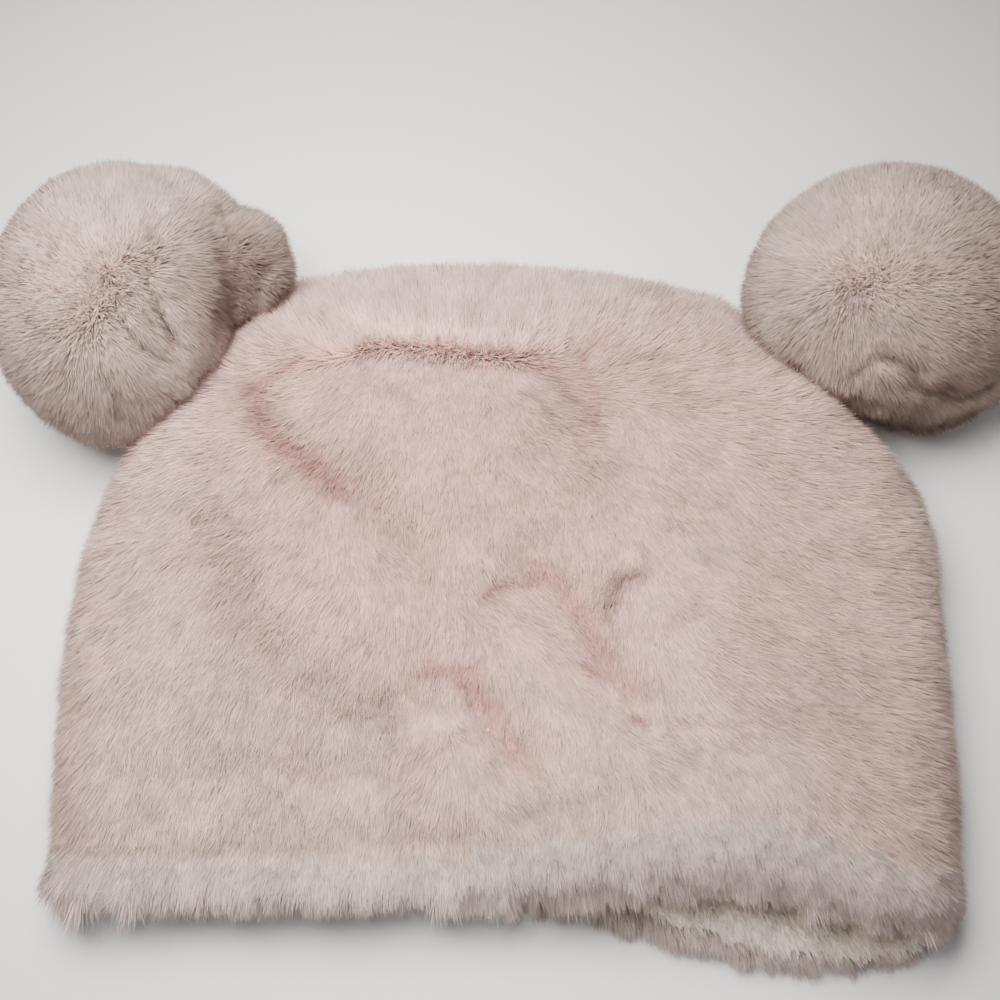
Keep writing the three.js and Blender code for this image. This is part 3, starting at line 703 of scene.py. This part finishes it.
# Per pompom: its lobes, as middles and radii in millimetres across, along and up; the middle of its smooth side;
# its combing; its partings. The last three are laid out as seen from the brim's side: each millimetre above the
# ball's middle counts as BALL_SLANT along.
POMPOMS = {
    "pompom_left": (
        [((-130, 194, 45), (42, 48, 46)), ((-114, 218, 48), (24, 25, 26)), ((-94, 211, 39), (20, 25, 26))],
        (-149, 207),
        [
            (-153, 210, 160, 0), (-153, 191, 180, 0), (-140, 222, 135, 0), (-128, 237, 105, 0),
            (-119, 241, 90, 0), (-107, 240, 75, 0), (-133, 202, 150, 0), (-140, 190, 180, 0),
            (-127, 217, 115, 0), (-119, 224, 100, 0), (-128, 193, 170, 0.1), (-152, 174, 200, 0),
            (-150, 162, 220, 0), (-142, 151, 245, 0.1), (-132, 147, 260, 0.1), (-124, 148, 280, 0.2),
            (-116, 214, 125, 0.2), (-107, 219, 40, 0.1), (-100, 219, 20, 0.2), (-95, 225, 30, 0.2),
            (-105, 210, -5, 0.1), (-98, 209, -12, 0.2), (-92, 208, -12, 0.3), (-104, 200, -35, 0.1),
            (-98, 197, -40, 0.3), (-92, 198, -35, 0.4), (-104, 191, -60, 0.1), (-102, 185, -55, 0.2),
            (-95, 190, -40, 0.4), (-103, 179, -70, 0.2), (-98, 180, -40, 0.4), (-110, 194, -60, 0.1),
            (-108, 187, -60, 0.1), (-113, 198, -45, 0.2), (-119, 198, -30, 0.2), (-116, 190, -40, 0.3),
            (-122, 192, -30, 0.2), (-123, 181, -15, 0.1), (-118, 177, -25, 0.3), (-112, 169, -30, 0.4),
            (-109, 166, -30, 0.4), (-122, 170, -40, 0.4), (-116, 162, -50, 0.3), (-130, 174, -80, 0),
            (-130, 168, -75, 0), (-136, 166, -120, 0), (-124, 160, -70, 0.3), (-121, 153, -60, 0.2),
            (-135, 158, -100, 0), (-143, 170, 200, 0), (-87, 227, 55, 0.2), (-79, 222, 45, 0.1),
            (-75, 214, 0, 0.2), (-84, 213, 80, 0.3), (-86, 203, -85, 0.5), (-80, 203, -70, 0.5),
            (-77, 206, -50, 0.4), (-88, 192, -90, 0.5),
        ],
        [
            ("whorl parting", [(-113, 223), (-113, 215), (-111, 209), (-110, 205)], 2, 2.5, 0.45, 0.6),
            ("long gather", [(-112, 204), (-110, 196), (-107, 187), (-104, 178)], 1.4, 5.5, 1.3, 0.8),
            ("second gather", [(-117, 199), (-114, 191), (-110, 184)], 1.2, 4.5, 1.1, 0.8),
            ("short gather", [(-122, 192), (-118, 184), (-113, 177), (-108, 173)], 1.4, 5, 1.2, 0.8),
            ("lobe seam", [(-95, 231), (-92, 222), (-89, 215), (-89, 200), (-91, 188)], 2.4, 4.5, 1, 0.4),
            ("shaded back lobe", [(-84, 216), (-84, 204), (-87, 192)], 10, 0, 1, 0.9),
            ("first row behind", [(-84, 212), (-85, 199), (-89, 190)], 1.3, 3.5, 1.1, 0.4),
            ("second row behind", [(-80, 212), (-82, 200), (-84, 191)], 1.3, 3.5, 1, 0.4),
            ("lower shade", [(-125, 165), (-124, 159), (-125, 154)], 2.5, 2, 0.1, 0.8),
        ],
    ),
    "pompom_right": (
        [((133, 198, 45), (48, 43, 44)), ((147, 185, 31), (32, 31, 30))],
        (138, 217),
        [
            (93, 219, 150, 0), (89, 205, 180, 0), (104, 231, 120, 0), (118, 239, 100, 0),
            (131, 236, 80, 0), (140, 228, 55, 0.1), (149, 222, 40, 0.2), (109, 214, 110, 0),
            (119, 217, 85, 0), (131, 217, 45, 0.1), (101, 205, 170, 0.1), (94, 194, 190, 0),
            (90, 192, 200, 0), (101, 196, 190, 0.1), (105, 192, 210, 0.2), (100, 185, 215, 0.1),
            (105, 184, -130, 0.2), (111, 185, -90, 0.1), (114, 178, -90, 0), (111, 173, -100, 0),
            (107, 173, -110, 0.1), (115, 188, -70, 0.2), (120, 174, -60, 0), (124, 179, -45, 0.1),
            (118, 194, -10, 0.1), (121, 187, -35, 0.3), (126, 188, -15, 0.1), (134, 189, -10, 0.1),
            (141, 191, -10, 0.3), (151, 195, -5, 0.3), (149, 203, 0, 0.4), (142, 208, 5, 0.3),
            (134, 208, 20, 0.3), (138, 216, 35, 0.2), (130, 175, -25, 0.3), (143, 178, -15, 0.4),
            (152, 181, -15, 0.4), (137, 168, -25, 0.5), (151, 168, -25, 0.4), (157, 173, -15, 0.5),
            (121, 166, -40, 0.3), (133, 159, -60, 0.2), (142, 157, -60, 0.3), (148, 158, -45, 0.3),
            (158, 162, -35, 0.4), (120, 160, -70, 0.2), (118, 159, -80, 0.2), (138, 149, -60, 0.2),
            (149, 151, -50, 0.2), (162, 156, -40, 0.2),
        ],
        [
            ("upper gather", [(116, 169), (123, 174), (130, 173), (137, 170)], 2.2, 3.5, 0.5, 0.5),
            ("lower gather", [(135, 166), (147, 164), (156, 162), (166, 168)], 2, 3, 0.5, 0.6),
            ("short gather", [(117, 162), (123, 158), (128, 160)], 1.6, 2.5, 0.3, 0.4),
            ("outer shade", [(132, 209), (138, 210)], 2.2, 0.8, 0, 0.4),
            ("side shade", [(145, 206), (155, 207)], 2, 1, 0.05, 0.6),
            ("far shade", [(153, 194), (160, 194)], 1.8, 1.5, 0.1, 0.7),
            ("lobe seam", [(126, 153), (132, 150), (146, 151), (157, 154), (169, 159)], 2.6, 4.5, 1, 0.3),
        ],
    ),
}


def rounded(points, lobes, inset):
    """Points of a ball drawn in on to its lobes, for a round surface under the pile with a sharp parting."""
    round_points = points.copy()
    deepest = np.full(len(points), np.inf)
    for middle, radii in lobes:
        middle = np.array(place(*middle))
        radii = np.array(radii) / 1000
        inside = np.linalg.norm((points - middle) / radii, axis=1)
        closer = inside < deepest
        deepest = np.where(closer, inside, deepest)
        inward = np.minimum((1 - inset / radii.mean()) / inside, 1)
        round_points = np.where(closer[:, None], middle + (points - middle) * inward[:, None], round_points)
    bumps = noise(points, BUMP_SIZE, 61)[:, None]
    return round_points + unit(round_points - points.mean(axis=0)) * BUMP_HEIGHT * bumps


def pompom_share(points, normals):
    """No pile where the ball is pressed against the hat, and little beneath it."""
    beside = distance_to(body_tree, points)
    return np.where(normals[:, 2] > -0.5, 1.0, 0.3) * (beside > BARE_REACH)


for number, (node, (lobes, smooth, rows, partings)) in enumerate(POMPOMS.items()):
    core = soft_copy((node,), f"{node}_cloth", 0.003, 4)
    points, _, _ = surface_of(core)
    move_points(core, rounded(points, lobes, CORE_INSET))
    points, normals, _ = surface_of(core)
    pressed = np.clip(1 - distance_to(body_tree, points) / PRESSED_REACH, 0, 1)
    points = points - normals * (PRESSED_DEPTH * pressed)[:, None]
    points = creased(points, normals, 1 - pressed, rows, partings, BALL_SLANT)
    points[:, 2] = np.maximum(points[:, 2], TABLE_GAP)
    move_points(core, points)
    core.data.materials.append(pink_backing)
    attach(core, "root")
    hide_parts(node)

    roots, root_normals = scatter(core, POMPOM_TUFTS, pompom_share, 41 + number)
    comb, parted = combed(roots, rows, partings, BALL_SLANT, BALL_BLEND)
    # On the side turned from the camera the partings fade: their tint, which on the pompoms is painted shade, and
    # their ruffle.
    parted *= np.clip(root_normals @ np.array(away) / 0.3 + 1, 0, 1)[:, None]  # the far side has no partings
    beside_smooth = np.linalg.norm(flat_place(roots, BALL_SLANT) - np.array(smooth), axis=1)
    velvety = np.exp(-((beside_smooth / SMOOTH_REACH) ** 4))
    # Where the smooth side's pile stands up, its roots are painted lighter, against the shade between the tufts.
    comb *= 1 - 0.6 * velvety[:, None]
    fur = pile(f"{node}_pile", roots, root_normals, comb, POMPOM_PILE, POMPOM_COLOURS, parted, 51 + number)
    fur.data.materials.append(acrylic_pile)
    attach(fur, "root")
